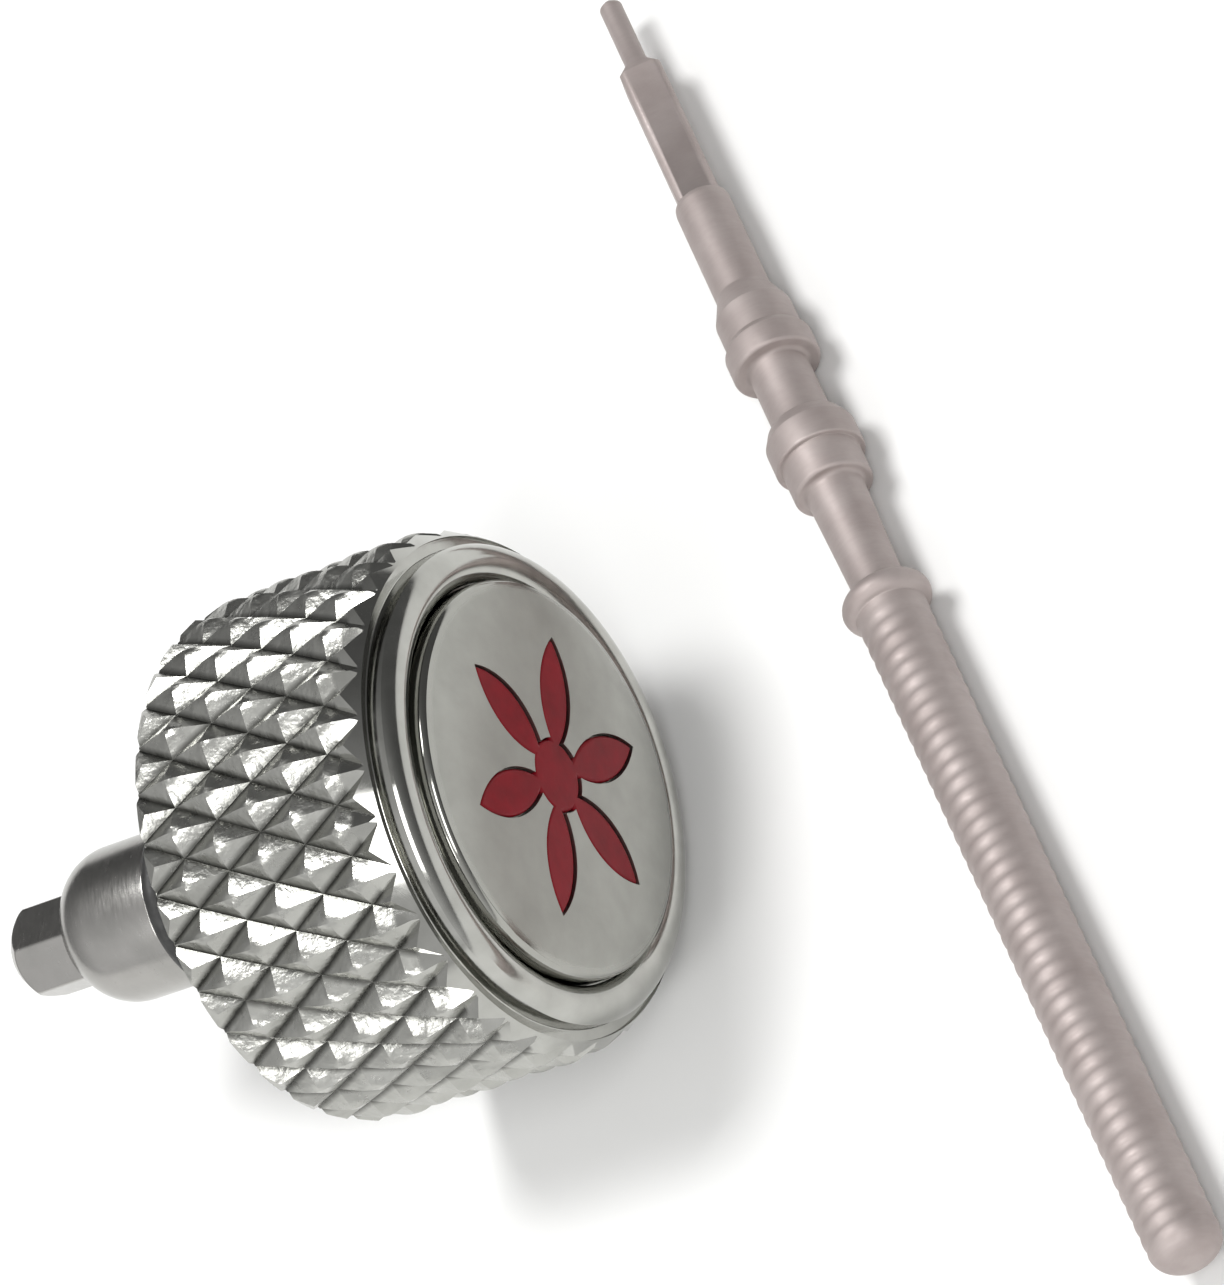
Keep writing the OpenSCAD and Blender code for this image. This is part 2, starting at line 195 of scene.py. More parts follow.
# Looks. TURNED_MARKS makes fine marks run round a turned piece. The disc's polish sets in between two radii,
# and its edge keeps POLISHED_ROUGHNESS of the satin's roughness. The knurl's colour has painted shade, which
# fades between two heights above the bottoms of its grooves. The camera sees the floor fade into the backdrop
# between two distances, which are in metres, as FLOOR_HALF_W is.
TURNED_MARKS = (6, 1, 1)
POLISHED_EDGE_R = (2.32, 2.42)
POLISHED_ROUGHNESS = 0.27
PAINTED_SHADE_FADE = (0.01, 0.05)
# The colour of the shade painted along the bottoms of the knurl's grooves
PAINTED_SHADE = (0.13, 0.13, 0.12, 1)
KNURL_ROUGHER = 0.17
KNURL_HAMMERED = 0.7
BRIGHT_SIDE = (-0.30, -0.86, 0.41)
ROOM_LIGHT = (0.13, 0.95)
BACKDROP = (0.9, 0.9, 0.89, 1)
FLOOR_HALF_W = 2.0
FLOOR_FADE = (0.06, 0.16)

# Camera: its place, what it looks at, its roll and its focal length, in pixels of the photograph
CAMERA_PLACE = (54.649, -39.057, 70.203)
CAMERA_TARGET = (2.345, 3.402, -3.35)
CAMERA_ROLL = math.radians(-61.76)
CAMERA_FOCAL = 8000
PHOTO_H = 1285
SENSOR_H = 36.0

# Mesh fineness: steps across half a knurl pitch, columns round a turned piece, points on a big arc, and steps
# in a thread's pitch. THREAD_FLAT is the share of half a pitch that is flat at a thread's crest and its root.
KNURL_STEPS = 10
FINE_COLUMNS = 2 * KNURL_COUNT * KNURL_STEPS
COLUMNS = FINE_COLUMNS // 4
POST_COLUMNS = 192
SMALL_COLUMNS = 96
ARC_POINTS = 25
THREAD_STEPS = 10
THREAD_FLAT = 0.12

# Fillets that break a piece's edges
EDGE = 0.02
SOFT_EDGE = 0.03


# Meshes


def rounded(corners, steps=4):
    """Points of a drawn line whose corners, each (x, r, fillet), are rounded by arcs."""
    points = []
    for i, (x, r, fillet) in enumerate(corners):
        here = np.array([x, r], float)
        if not fillet or i in (0, len(corners) - 1):
            points.append(here)
            continue
        to_last = np.array(corners[i - 1][:2]) - here
        to_next = np.array(corners[i + 1][:2]) - here
        to_last /= np.linalg.norm(to_last)
        to_next /= np.linalg.norm(to_next)
        half = math.acos(np.clip(to_last @ to_next, -1, 1)) / 2
        middle = (to_last + to_next) / np.linalg.norm(to_last + to_next)
        centre = here + middle * fillet / math.sin(half)
        first = here + to_last * fillet / math.tan(half) - centre
        last = here + to_next * fillet / math.tan(half) - centre
        swing = math.pi - 2 * half
        for k in range(steps + 1):
            share = k / steps
            weight_a = math.sin((1 - share) * swing) / math.sin(swing)
            weight_b = math.sin(share * swing) / math.sin(swing)
            points.append(centre + weight_a * first + weight_b * last)
    return points


def turns_of(columns, start=0.0):
    """The angle of each column round the axis."""
    return start + np.arange(columns) * 2 * math.pi / columns


def ring(x, r, angles):
    """One ring of points round the X axis. x and r are numbers or one value a column."""
    return np.stack([x * np.ones(len(angles)), r * np.cos(angles), r * np.sin(angles)], 1)


def pole(x):
    """The single point that closes a turned piece on its axis."""
    return np.array([[x, 0.0, 0.0]])


def turned(corners, angles, steps=4):
    """Rings of a turned surface whose outline is a rounded line."""
    return [ring(x, r, angles) for x, r in rounded(corners, steps)]


def band(low, high):
    """Faces between two neighbouring rings, given as ranges of point numbers, of which one may be coarser."""
    if len(low) < len(high):
        return [face[::-1] for face in band(high, low)]
    count, ratio = len(low), len(low) // len(high)
    faces = []
    for j in range(len(high)):
        near = [low[(j * ratio + k) % count] for k in range(ratio + 1)]
        if len(high) == 1:
            faces += [(near[k], near[k + 1], high[0]) for k in range(ratio)]
        else:
            faces.append((*near, high[(j + 1) % len(high)], high[j]))
    return faces


def folded_band(points, low, high):
    """Triangles between two rings, each square folded along its lower diagonal, as a knurl's grooves run."""
    faces = []
    radius = np.hypot(points[:, 1], points[:, 2])
    for a, b, c, d in band(low, high):
        if radius[a] + radius[c] < radius[b] + radius[d]:
            faces += [(a, b, c), (a, c, d)]
        else:
            faces += [(a, b, d), (b, c, d)]
    return faces


def mesh_of(name, points, faces, smooth=True):
    """A mesh object from points in millimetres, with doubled points joined and its faces turned outwards."""
    mesh = bpy.data.meshes.new(name)
    mesh.from_pydata(np.asarray(points) * MM, [], faces)
    work = bmesh.new()
    work.from_mesh(mesh)
    bmesh.ops.remove_doubles(work, verts=work.verts, dist=2e-5 * MM)
    bmesh.ops.recalc_face_normals(work, faces=work.faces)
    work.to_mesh(mesh)
    work.free()
    mesh.polygons.foreach_set("use_smooth", [smooth] * len(mesh.polygons))
    made = bpy.data.objects.new(name, mesh)
    bpy.context.scene.collection.objects.link(made)
    return made


def skin(name, rings, closed=False, folded=range(0)):
    """A mesh object through a list of rings. A closed one joins its last ring to its first.

    The bands that start at the rings numbered in folded are made of folded squares.
    """
    points = np.concatenate(rings)
    ends = np.cumsum([len(r) for r in rings])
    numbers = [range(end - len(r), end) for end, r in zip(ends, rings)]
    faces = []
    for i, (low, high) in enumerate(zip(numbers, numbers[1:] + (numbers[:1] if closed else []))):
        faces += folded_band(points, low, high) if i in folded else band(low, high)
    return mesh_of(name, points, faces)


def weigh_normals(piece):
    """Keeps flats flat beside their fillets."""
    modifier = piece.modifiers.new("weighted normals", "WEIGHTED_NORMAL")
    modifier.keep_sharp = True
    modifier.weight = 80


def cut(piece, cutter, sharp=math.radians(35)):
    """Cuts one closed mesh out of another for good and marks the sharp edges that this leaves."""
    modifier = piece.modifiers.new("cut", "BOOLEAN")
    modifier.operation = "DIFFERENCE"
    modifier.solver = "EXACT"
    modifier.object = cutter
    shown = piece.evaluated_get(bpy.context.evaluated_depsgraph_get())
    mesh = bpy.data.meshes.new_from_object(shown)
    piece.modifiers.clear()
    piece.data = mesh
    bpy.data.objects.remove(cutter)
    mesh.set_sharp_from_angle(angle=sharp)


def polygon_radius(angles, sides, apothem, turn, fillet):
    """Radius in each direction of a regular polygon with rounded corners, one of which is at turn."""
    half = math.pi / sides
    from_corner = np.abs((angles - turn + half) % (2 * half) - half)
    flat = apothem / np.cos(half - from_corner)
    reach = (apothem - fillet) / math.cos(half)
    across = np.clip(fillet**2 - (reach * np.sin(from_corner)) ** 2, 0, None)
    corner = reach * np.cos(from_corner) + np.sqrt(across)
    on_corner = apothem * np.tan(half - from_corner) > (apothem - fillet) * math.tan(half)
    return np.where(on_corner, corner, flat)


def thread_wave(phase):
    """Depth of a thread's groove at a place in its pitch, from 0 at the crest to 1 at the root."""
    slope = np.abs(phase - np.round(phase)) * 2
    ramp = np.clip((slope - THREAD_FLAT) / (1 - 2 * THREAD_FLAT), 0, 1)
    return 1 - ramp * ramp * (3 - 2 * ramp)


def threaded(start, end, pitch, depth, radius, angles, inner=False, lead=1.0):
    """Rings of a right-hand thread along +X whose crests are at a radius.

    It fades in over lead turns at both ends.
    """
    count = int(round((end - start) / pitch * THREAD_STEPS))
    rings = []
    for k in range(count + 1):
        x = start + (end - start) * k / count
        wave = thread_wave((x - start) / pitch - angles / (2 * math.pi))
        fade = np.clip(min(x - start, end - x) / pitch / lead, 0, 1)
        away = depth * wave * fade
        rings.append(ring(x, radius + away if inner else radius - away, angles))
    return rings


# Crown


def knurl_radius(x, half_pitches):
    """Radius of the knurl's four-sided pyramids at a place along the axis and round it."""
    row = (x - KNURL_START) / KNURL_ROW
    right = (half_pitches + row) / 2
    left = (half_pitches - row) / 2
    height = 2 * np.minimum(np.abs(right - np.round(right)), np.abs(left - np.round(left)))
    worn = np.clip(height - KNURL_WORN, 0, None) ** 2 / (2 * (1 - KNURL_WORN))
    return KNURL_R - KNURL_DEPTH * (1 - height + worn)


def back_limit(x):
    """Radius of the bevel at the back rim, which cuts the knurl's tips."""
    length, height = BACK_BEVEL
    return KNURL_R - height + x * height / length


def front_limit(x):
    """Radius of the front shoulder, on which the knurl runs out."""
    return SHOULDER_R + (SHOULDER_X - x) * SHOULDER_SLOPE


def meeting_place(limit, low, high, half_pitches):
    """Where the knurl meets a bevel in each column, found by halving the stretch that it lies in."""
    halvings = 40
    low = np.full(len(half_pitches), low)
    high = np.full(len(half_pitches), high)
    rising = limit is front_limit
    for _ in range(halvings):
        middle = (low + high) / 2
        above = knurl_radius(middle, half_pitches) > limit(middle)
        high = np.where(above == rising, middle, high)
        low = np.where(above == rising, low, middle)
    return (low + high) / 2


def knurled_side(angles):
    """Rings of the head's side from its front shoulder to its back rim."""
    half_pitches = np.arange(FINE_COLUMNS) / KNURL_STEPS
    front = meeting_place(front_limit, SHOULDER_X - 1, SHOULDER_X, half_pitches)
    back = meeting_place(back_limit, 0.0, 1.0, half_pitches)
    rings = []
    for share in (0.0, 0.04, 0.5):
        x = SHOULDER_X + (front - SHOULDER_X) * share
        rings.append(ring(x, front_limit(x), angles))
    step = KNURL_ROW / KNURL_STEPS
    first = math.ceil((SHOULDER_X - KNURL_START) / step)
    last = math.floor(-KNURL_START / step)
    for k in range(first, last - 1, -1):
        x = np.clip(KNURL_START + k * step, back, front)
        rings.append(ring(x, knurl_radius(x, half_pitches), angles))
    for x in (back * 0.5, np.zeros(FINE_COLUMNS)):
        rings.append(ring(x, np.minimum(back_limit(x), knurl_radius(x, half_pitches)), angles))
    return rings


def bezel_arc():
    """Points along the ring's rounded top, from the disc's seat outwards."""
    middle_x = RING_TOP_X - RING_ROUND
    start = math.acos((FACE_SEAT_R - RING_HIGH_R) / RING_ROUND)
    end = math.acos((RING_R - RING_HIGH_R) / RING_ROUND)
    return [
        (middle_x + RING_ROUND * math.sin(a), RING_HIGH_R + RING_ROUND * math.cos(a))
        for a in np.linspace(start, end, ARC_POINTS)
    ]


def crown_head():
    """The head in one skin: the disc's seat, ring, groove, knurled side, back rim, bore and sleeve's seat."""
    fine = turns_of(FINE_COLUMNS, KNURL_TURN)
    coarse = turns_of(COLUMNS, KNURL_TURN)
    bezel = bezel_arc()
    groove = [
        (bezel[-1][0], RING_R, 0),
        (GROOVE_FLOOR_X, RING_R, EDGE),
        (GROOVE_FLOOR_X, SHOULDER_R - SOFT_EDGE, 0),
    ]
    mouth = [
        (0.0, CAVITY_R + MOUTH_BEVEL + BACK_RIM_W, 0),
        (0.0, CAVITY_R + MOUTH_BEVEL, SOFT_EDGE),
        (MOUTH_BEVEL, CAVITY_R, SOFT_EDGE),
        (TUBE_THREAD_X[0], CAVITY_R, 0),
    ]
    cavity = [
        (TUBE_THREAD_X[1], CAVITY_R, 0),
        (CAVITY_X, CAVITY_R, SOFT_EDGE),
        (CAVITY_X, SLEEVE_R + SEAT_GAP, EDGE),
        (SLEEVE_SEAT_X, SLEEVE_R + SEAT_GAP, EDGE),
        (SLEEVE_SEAT_X, SEAT_MIDDLE_R, 0),
    ]
    rings = [pole(FACE_SEAT_X)]
    rings += [ring(FACE_SEAT_X, FACE_SEAT_R, coarse), ring(bezel[0][0] - SOFT_EDGE, FACE_SEAT_R, coarse)]
    rings += [ring(x, r, coarse) for x, r in bezel]
    rings += turned(groove, coarse)[1:]
    rings.append(ring(GROOVE_FLOOR_X, SHOULDER_R - SHOULDER_EDGE, fine))
    rings.append(ring(GROOVE_FLOOR_X + SHOULDER_EDGE, SHOULDER_R, fine))
    first_of_side = len(rings)
    rings += knurled_side(fine)
    side = range(first_of_side, len(rings) - 1)
    rings += turned(mouth, coarse)
    rings += threaded(*TUBE_THREAD_X, TUBE_THREAD_PITCH, TUBE_THREAD_DEPTH, CAVITY_R, coarse, inner=True)[1:]
    rings += turned(cavity, coarse)[1:]
    rings.append(pole(SLEEVE_SEAT_X))
    head = skin("knurled_head", rings, folded=side)
    head.data.set_sharp_from_angle(angle=math.radians(20))
    weigh_normals(head)
    return head


def arc_points(centre, radius, start, end, count):
    """Points along an arc in the plane of the rosette."""
    return [
        (centre[0] + radius * math.cos(a), centre[1] + radius * math.sin(a))
        for a in np.linspace(start, end, count)
    ]


def rosette_outline(grow=0.0):
    """Outline of the round middle and its petals, swollen by a gap where it is a pocket."""
    half_l, half_w = PETAL_L / 2 + grow, PETAL_W / 2 + grow
    hub_r = HUB_R + grow
    side_r = (half_l**2 + half_w**2) / (2 * half_w)
    middle = PETAL_START + PETAL_L / 2
    # The petal lies along the first axis. One of its sides is an arc round (middle, off).
    off = side_r - half_w
    gap = math.hypot(middle, off)
    along = (gap**2 + hub_r**2 - side_r**2) / (2 * gap)
    across = math.sqrt(hub_r**2 - along**2)
    unit = np.array([middle, off]) / gap
    root = unit * along + np.array([unit[1], -unit[0]]) * across
    root_turn = math.atan2(root[1], root[0])
    from_side = math.atan2(root[1] - off, root[0] - middle)
    tip_turn = math.atan2(-off, half_l)
    side = arc_points((middle, off), side_r, from_side, tip_turn, 22)
    sector = side + [(y, -z) for y, z in side[-2::-1]]
    hub = arc_points((0, 0), hub_r, -root_turn, 2 * math.pi / PETAL_COUNT + root_turn, 7)[1:-1]
    points = []
    for i in range(PETAL_COUNT):
        turn = i * 2 * math.pi / PETAL_COUNT
        c, s = math.cos(turn), math.sin(turn)
        points += [(y * c - z * s, y * s + z * c) for y, z in sector + hub]
    return points


def rosette_block(name, low_x, high_x, grow=0.0):
    """The rosette as a closed block between two places along the axis."""
    outline = rosette_outline(grow)
    count = len(outline)
    points = [(x, y, z) for x in (low_x, high_x) for y, z in outline]
    faces = [tuple(range(count)), tuple(range(2 * count - 1, count - 1, -1))]
    faces += [(j, (j + 1) % count, count + (j + 1) % count, count + j) for j in range(count)]
    return mesh_of(name, points, faces, smooth=False)


def face_disc():
    """The disc with its pocket for the enamel. Its cushion's rings lie closest together near its edge."""
    angles = turns_of(COLUMNS)
    dome = [
        (FACE_EDGE_X + FACE_DOME * (1 - (r / FACE_R) ** FACE_DOME_POWER), r)
        for r in FACE_R * np.linspace(1, 0, DOME_RINGS)[2:-1] ** DOME_SPACING
    ]
    corners = [(FACE_SEAT_X, 0.0, 0), (FACE_SEAT_X, FACE_R, EDGE), (FACE_EDGE_X, FACE_R, FACE_EDGE_ROUND)]
    outline = rounded(corners + [(*dome[0], 0)], 6)[1:-1]
    rings = [pole(FACE_SEAT_X)] + [ring(x, r, angles) for x, r in outline + dome]
    disc = skin("satin_face", rings + [pole(FACE_EDGE_X + FACE_DOME)])
    cut(disc, rosette_block("pocket", POCKET_FLOOR_X, RING_TOP_X + 1, SEAT_GAP))
    weigh_normals(disc)
    return disc


def enamel():
    """The enamel fills its pocket and draws down a little towards its edge, as poured enamel does."""
    inlay = rosette_block("red_enamel", POCKET_FLOOR_X, INLAY_TOP_X)
    work = bmesh.new()
    work.from_mesh(inlay.data)
    top = max(work.faces, key=lambda face: face.calc_center_median().x)
    edges = list(top.edges)
    bmesh.ops.bevel(work, geom=edges, offset=INLAY_EDGE * MM, segments=4, profile=0.5, affect="EDGES")
    for face in work.faces:
        face.smooth = True
    work.to_mesh(inlay.data)
    work.free()
    weigh_normals(inlay)
    return inlay


def gasket():
    """The rubber ring, with rounded edges towards the crown's open back."""
    low, high = GASKET_R
    x1, x2 = GASKET_X
    corners = [(x2, low, 0), (x1, low, GASKET_EDGE), (x1, high, GASKET_EDGE), (x2, high, 0)]
    piece = skin("rubber_gasket", turned(corners, turns_of(SMALL_COLUMNS), 6), closed=True)
    piece.data.set_sharp_from_angle(angle=math.radians(60))
    return piece


def washer():
    """The steel washer, whose outline starts and ends at the middle of its width."""
    low, high = GASKET_R
    x1, x2 = WASHER_X
    middle = (low + high) / 2
    rounds = [(x2, low, EDGE), (x1, low, EDGE), (x1, high, EDGE), (x2, high, EDGE)]
    corners = [(x2, middle, 0)] + rounds + [(x2, middle, 0)]
    piece = skin("thin_washer", turned(corners, turns_of(SMALL_COLUMNS), 3)[:-1], closed=True)
    weigh_normals(piece)
    return piece


def sleeve():
    """The sleeve with its bore, O-ring groove and rounded end, through which a hexagonal mouth is cut."""
    angles = turns_of(COLUMNS)
    floor_x = SLEEVE_END_X + SLEEVE_END_T
    groove_r = SLEEVE_R - O_RING_GROOVE_T
    groove_w = O_RING_W / 2 + SEAT_GAP
    outline = [
        (floor_x, 0.0, 0),
        (floor_x, SLEEVE_BORE_R, SOFT_EDGE),
        (SLEEVE_TOP_X, SLEEVE_BORE_R, SOFT_EDGE),
        (SLEEVE_TOP_X, SLEEVE_R, 2 * EDGE),
        (O_RING_X + groove_w, SLEEVE_R, EDGE),
        (O_RING_X + groove_w, groove_r, EDGE),
        (O_RING_X - groove_w, groove_r, EDGE),
        (O_RING_X - groove_w, SLEEVE_R, EDGE),
        (SLEEVE_END_X, SLEEVE_R, 0),
    ]
    line = rounded(outline)[1:-1]
    round_x, round_r = SLEEVE_END_X + SLEEVE_ROUND, SLEEVE_R - SLEEVE_ROUND
    line += [
        (round_x - SLEEVE_ROUND * math.sin(a), round_r + SLEEVE_ROUND * math.cos(a))
        for a in np.linspace(0, math.pi / 2, ARC_POINTS)
    ]
    rings = [pole(floor_x)] + [ring(x, r, angles) for x, r in line]
    tube = skin("crown_sleeve", rings + [pole(SLEEVE_END_X)])
    around = turns_of(COLUMNS, POST_TURN)
    hexagon = polygon_radius(around, 6, POST_FLATS / 2 + SLIDE_GAP, POST_TURN, EDGE)
    past = 0.2
    low, high = SLEEVE_END_X - past, floor_x + past
    cut(tube, skin("mouth", [pole(low), ring(low, hexagon, around), ring(high, hexagon, around), pole(high)]))
    weigh_normals(tube)
    return tube


def o_ring():
    """The rubber ring in the sleeve's groove."""
    angles = turns_of(SMALL_COLUMNS)
    sides = 24
    wire_r = O_RING_W / 2
    middle_r = SLEEVE_R - O_RING_GROOVE_T + SEAT_GAP + wire_r
    rings = [
        ring(O_RING_X + wire_r * math.sin(a), middle_r + wire_r * math.cos(a), angles)
        for a in turns_of(sides)
    ]
    return skin("o_ring", rings, closed=True)


def spring():
    """A coil of round wire with evenly spaced turns."""
    sides, steps = 12, 36
    x1, x2 = SPRING_X
    count = SPRING_TURNS * steps
    wire = turns_of(sides)
    rings = []
    for i in range(count + 1):
        turn = i * 2 * math.pi / steps
        share = i / count
        x = x1 + (x2 - x1) * share
        r = SPRING_R + SPRING_WIRE_R * np.cos(wire)
        rings.append(np.stack([x + SPRING_WIRE_R * np.sin(wire), r * math.cos(turn), r * math.sin(turn)], 1))
    first, last = rings[0].mean(0)[None], rings[-1].mean(0)[None]
    return skin("coil_spring", [first] + rings + [last])


def sliding_post():
    """The hexagonal post with its rounded end, round head and tapped hole."""
    angles = turns_of(POST_COLUMNS, POST_TURN)
    hexagon = polygon_radius(angles, 6, POST_FLATS / 2, POST_TURN, POST_EDGE)
    corner_r = POST_FLATS / math.sqrt(3)
    bottom_x = POST_END_X + TAP_T
    thread_x = [POST_END_X + t for t in TAP_THREAD_T]
    hole = [(bottom_x, 0.2, 0), (bottom_x, TAP_R, EDGE), (POST_END_X + TAP_PLAIN_T, TAP_R, 0)]
    end = [
        (POST_END_X + TAP_MOUTH_T, TAP_R, 0),
        (POST_END_X, TAP_R + EDGE, 0.01),
        (POST_END_X, corner_r - POST_BEVEL, EDGE),
        (POST_END_X + POST_BEVEL, corner_r, POST_BEVEL_ROUND),
        (POST_END_X + POST_BEVEL + 0.3, corner_r, 0),
    ]
    x1, x2 = POST_HEAD_X
    head = [
        (x1, POST_HEAD_R - SOFT_EDGE, 0),
        (x1, POST_HEAD_R, EDGE),
        (x2, POST_HEAD_R, SOFT_EDGE),
        (x2, POST_HEAD_R - 0.1, 0),
    ]
    rings = [pole(bottom_x)] + turned(hole, angles)
    rings += threaded(*thread_x, THREAD_PITCH, TAP_THREAD_DEPTH, TAP_R, angles, inner=True)[::-1]
    # The hole's mouth is the line's first corner, of one point, and its second, of steps + 1 points
    steps = 6
    line = np.array(rounded(end, steps))
    mouth = steps + 2
    rings += [ring(x, r, angles) for x, r in line[:mouth]]
    # The rounded end runs out on each flat where its radius reaches the hexagon's
    line_x, line_r = line[mouth - 1 :].T
    run_out = np.interp(hexagon, line_r, line_x)
    for share in np.arange(1, 9) / 8:
        x = line_x[0] + (run_out - line_x[0]) * share
        rings.append(ring(x, np.interp(x, line_x, line_r), angles))
    rings += [ring(x, hexagon, angles) for x in (run_out + EDGE, x1 - EDGE, x1)]
    rings += turned(head, angles)[1:]
    rings.append(pole(x2))
    post = skin("hexagonal_post", rings)
    post.data.set_sharp_from_angle(angle=math.radians(50))
    weigh_normals(post)
    return post


# Stem


def winding_stem():
    """The stem in one skin from its pilot to its threaded end, laid in its place."""
    angles = turns_of(SMALL_COLUMNS)
    square = polygon_radius(angles, 4, SQUARE_FLATS / 2, SQUARE_TURN + math.pi / 4, EDGE)
    pilot = [
        (0.0, 0.03, 0),
        (0.0, PILOT_R - PILOT_BEVEL, 0.02),
        (PILOT_BEVEL, PILOT_R, 0.03),
        (PILOT_L, PILOT_R, 0),
    ]
    before_flats = [(PILOT_L, PILOT_R, 0), (SQUARE_S, SQUARE_R, 0.06), (BEARING_S, SQUARE_R, 0)]
    shape = [
        (BEARING_S, SQUARE_R - 0.01, 0),
        (BEARING_S, SQUARE_R, 0.005),
        (BEARING_S + BEARING_BEVEL, BEARING_R, 0.03),
        (HUB_CONE_S, BEARING_R, 0.12),
        (STEM_HUB_S, STEM_HUB_R, 0.05),
        (FLANGE_S, STEM_HUB_R, 0.05),
        (FLANGE_S + FLANGE_BEVEL, FLANGE_R, 0.05),
        (LEVER_GROOVE_S, FLANGE_R, 0.05),
        (LEVER_GROOVE_S, LEVER_GROOVE_R, 0.06),
        (COLLAR_S, LEVER_GROOVE_R, 0.06),
        (COLLAR_S, COLLAR_R - COLLAR_BEVEL[1], 0.03),
        (COLLAR_S + COLLAR_BEVEL[0], COLLAR_R, 0.06),
        (COLLAR_STEP_S, COLLAR_R, 0.03),
        (COLLAR_STEP_S, COLLAR_STEP_R, 0.015),
        (NECK_S, COLLAR_STEP_R, 0.05),
        (NECK_S, NECK_R[0], 0.06),
        (BEAD_S, NECK_R[1], 0.03),
        (BEAD_S, BEAD_R - BEAD_L / 2, 0),
    ]
    rings = [pole(0.0)] + turned(pilot, angles)
    rings += [ring(x, np.minimum(r, square), angles) for x, r in rounded(before_flats, 5)[1:]]
    rings += turned(shape, angles, 5)[:-1]
    bead_r = BEAD_L / 2
    reach = math.acos((THREAD_R - BEAD_R + bead_r) / bead_r)
    rings += [
        ring(BEAD_S + bead_r + bead_r * math.sin(a), BEAD_R - bead_r + bead_r * math.cos(a), angles)
        for a in np.linspace(-math.pi / 2, reach, 20)
    ]
    thread = threaded(THREAD_S, STEM_L, THREAD_PITCH, THREAD_DEPTH, THREAD_R, angles, lead=THREAD_LEAD)
    # The rounded end cuts the last turns away
    for points in thread:
        from_bevel = np.clip(THREAD_BEVEL - (STEM_L - points[0, 0]), 0, THREAD_BEVEL)
        limit = THREAD_R - THREAD_BEVEL + math.sqrt(THREAD_BEVEL**2 - from_bevel**2)
        radius = np.hypot(points[:, 1], points[:, 2])
        points[:, 1:] *= np.minimum(1, limit / radius)[:, None]
    rings += thread + [ring(STEM_L, THREAD_R - THREAD_BEVEL - EDGE, angles), pole(STEM_L)]
    stem = skin("turned_stem", rings)
    weigh_normals(stem)
    stem.data.transform(Matrix.Translation(Vector(STEM_TIP) * MM) @ Matrix.Rotation(-STEM_TURN, 4, "Z"))
    return stem


# Materials


def add(tree, kind, inputs=None, **settings):
    """A shader node. An input is a number, a colour or another node's output."""
    made = tree.nodes.new(kind)
    for name, value in settings.items():
        setattr(made, name, value)
    for name, value in (inputs or {}).items():
        if isinstance(value, bpy.types.NodeSocket):
            tree.links.new(value, made.inputs[name])
        else:
            made.inputs[name].default_value = value
    return made


def new_material(name, **shader):
    """A material, its node tree and its surface shader, with the shader's inputs set."""
    material = bpy.data.materials.new(name)
    material.use_nodes = True
    tree = material.node_tree
    surface = tree.nodes["Principled BSDF"]
    for socket, value in shader.items():
        surface.inputs[socket.replace("_", " ")].default_value = value
    return material, tree, surface


def in_millimetres(tree, finer=(1, 1, 1), turn=0.0):
    """A place on the piece in millimetres, turned back about Z and made finer along its axes."""
    place = add(tree, "ShaderNodeTexCoord").outputs["Object"]
    inputs = {"Vector": place, "Rotation": (0, 0, turn), "Scale": [MM / f for f in finer]}
    return add(tree, "ShaderNodeMapping", inputs, vector_type="TEXTURE").outputs["Vector"]


def noise(tree, scale, detail, finer=(1, 1, 1), turn=0.0):
    """Noise on the piece, with about as many blots to a millimetre as scale says."""
    place = in_millimetres(tree, finer, turn)
    inputs = {"Vector": place, "Scale": scale, "Detail": detail, "Roughness": 0.55}
    return add(tree, "ShaderNodeTexNoise", inputs).outputs["Fac"]


def from_axis(tree):
    """How far along the crown's axis and how far from it a place lies, in millimetres."""
    parts = add(tree, "ShaderNodeSeparateXYZ", {"Vector": in_millimetres(tree)}).outputs
    flat = add(tree, "ShaderNodeCombineXYZ", {"Y": parts["Y"], "Z": parts["Z"]}).outputs["Vector"]
    return parts["X"], add(tree, "ShaderNodeVectorMath", {0: flat}, operation="LENGTH").outputs["Value"]


def math_of(tree, operation, *values):
    """The result of an operation on numbers or other nodes' outputs."""
    return add(tree, "ShaderNodeMath", dict(enumerate(values)), operation=operation).outputs["Value"]


def spread(tree, value, low, high, from_low=0.3, from_high=0.7):
    """A value's range spread over another one. The range of a noise is mostly between 0.3 and 0.7."""
    inputs = {"Value": value, "From Min": from_low, "From Max": from_high, "To Min": low, "To Max": high}
    return add(tree, "ShaderNodeMapRange", inputs).outputs["Result"]


def mixed(tree, share, first, second):
    """A colour between two, each given as a colour or as another node's output."""
    # A Mix node's sockets for colours have the names of others, so they are taken by number
    mix = add(tree, "ShaderNodeMix", {0: share, 6: first, 7: second}, data_type="RGBA")
    return mix.outputs[2]


def tint(tree, value, dark, light):
    """A colour between two, by a noise."""
    return mixed(tree, spread(tree, value, 0, 1), (*dark, 1), (*light, 1))


def bump(tree, height, strength, distance, normal=None):
    """A normal that follows a height, whose full range is distance millimetres, over another normal."""
    inputs = {"Height": height, "Strength": strength, "Distance": distance * MM}
    if normal:
        inputs["Normal"] = normal
    return add(tree, "ShaderNodeBump", inputs).outputs["Normal"]


